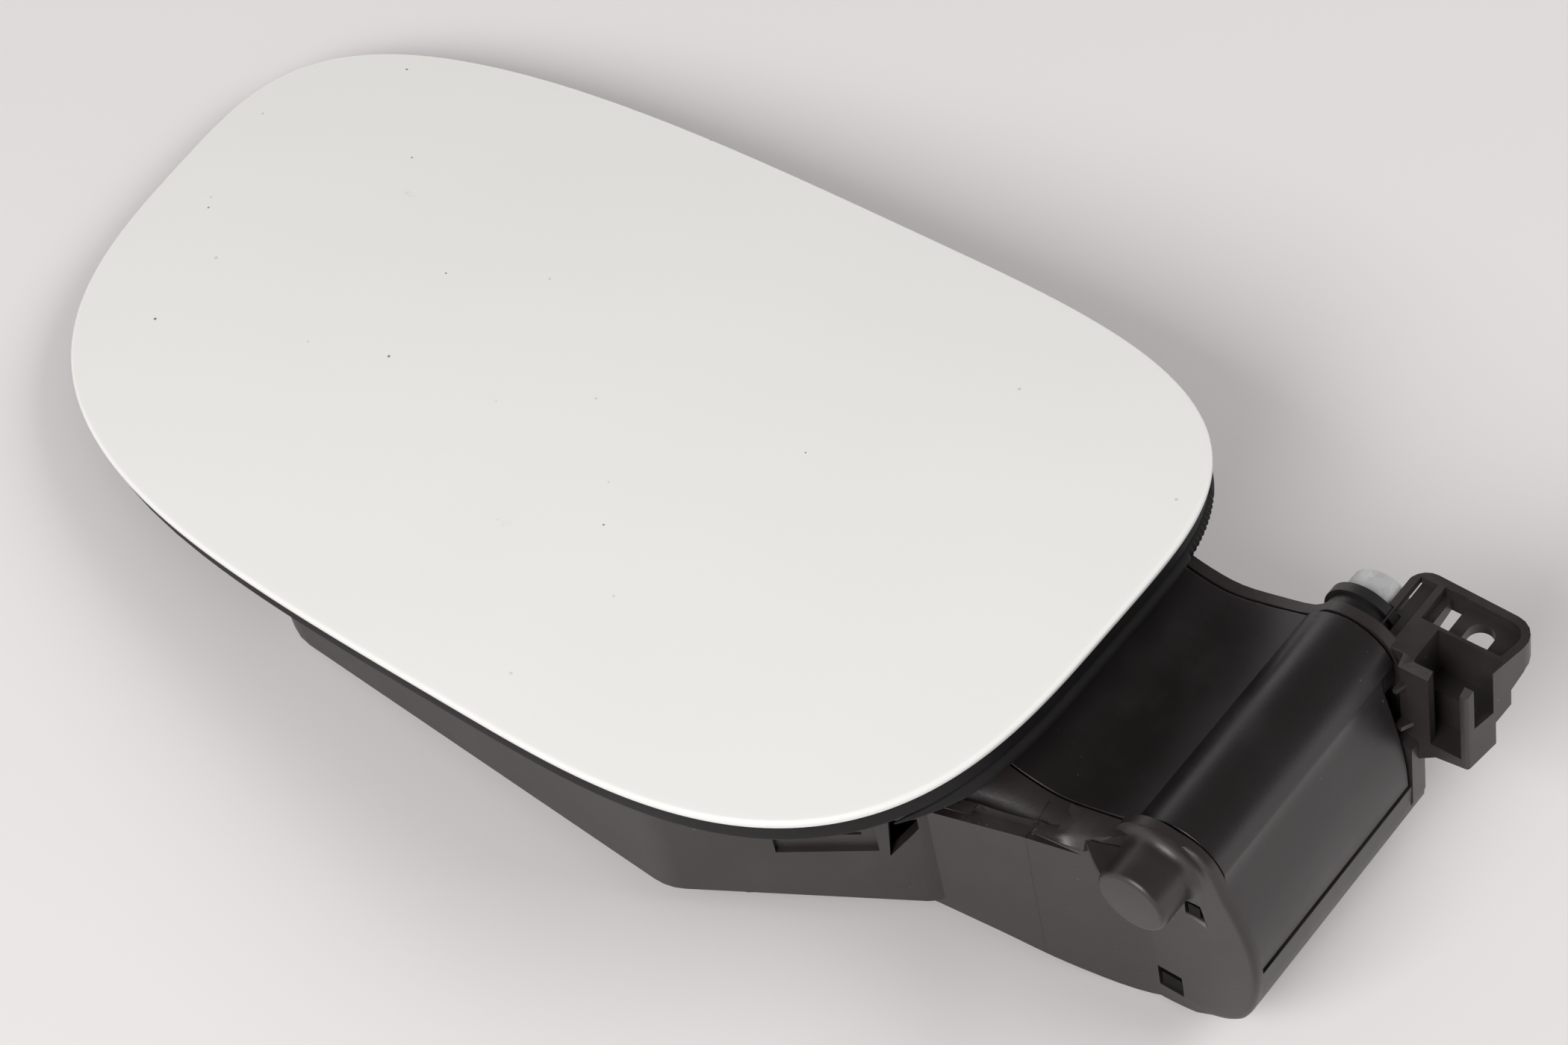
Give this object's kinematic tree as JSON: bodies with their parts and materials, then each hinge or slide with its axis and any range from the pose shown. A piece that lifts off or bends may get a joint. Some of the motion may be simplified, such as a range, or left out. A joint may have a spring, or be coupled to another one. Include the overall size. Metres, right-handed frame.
{
  "type": "fuel filler flap with housing",
  "caption": "Painted fuel filler flap on a gooseneck hinge, with the black moulded housing bowl that it closes and the hinge box beside it.",
  "frame": {"origin": "middle of the filler neck's bore, at the top face of the bowl's floor", "axes": "+Z is the neck's axis and square to the surface on which the part rests, +Y is the hinge pin's axis towards its free end, +X runs from the bowl to the hinge"},
  "size_m": [0.2553, 0.119, 0.0511],
  "materials": {
    "white_paint": "gloss paint over a rolled edge",
    "panel_plastic": "moulded, satin",
    "arm_plastic": "moulded, half gloss",
    "housing_plastic": "moulded, fine grain, satin",
    "collar_plastic": "moulded, satin",
    "retainer_plastic": "moulded, natural olive tint",
    "zinc_steel": "zinc plated, dull",
    "spring_steel": "drawn wire",
    "rubber": "soft black rubber"
  },
  "bodies": {
    "root": {"housing": "housing_plastic", "spring_retainer": "retainer_plastic", "return_spring": "spring_steel", "hinge_pin": "zinc_steel", "pin_collar": "collar_plastic", "neck_seal": "rubber", "drain_grommet": "rubber", "rim_gasket": "rubber", "rim_buffer_near": "rubber", "rim_buffer_far": "rubber"},
    "flap": {"flap_skin": "white_paint", "inner_panel": "panel_plastic", "edge_seal": "rubber", "hinge_arm": "arm_plastic", "arm_screws": "zinc_steel", "lock_eye": "zinc_steel", "cap_hook": "panel_plastic", "panel_buffer_near": "rubber", "panel_buffer_far": "rubber", "panel_buffer_lock": "rubber"}
  },
  "joints": [
    {"name": "flap_hinge", "type": "hinge", "parent": "root", "child": "flap", "pos_m": [0.09464, 0, 0.03427], "axis": [0, 1, 0], "range_deg": [0, 95]}
  ]
}
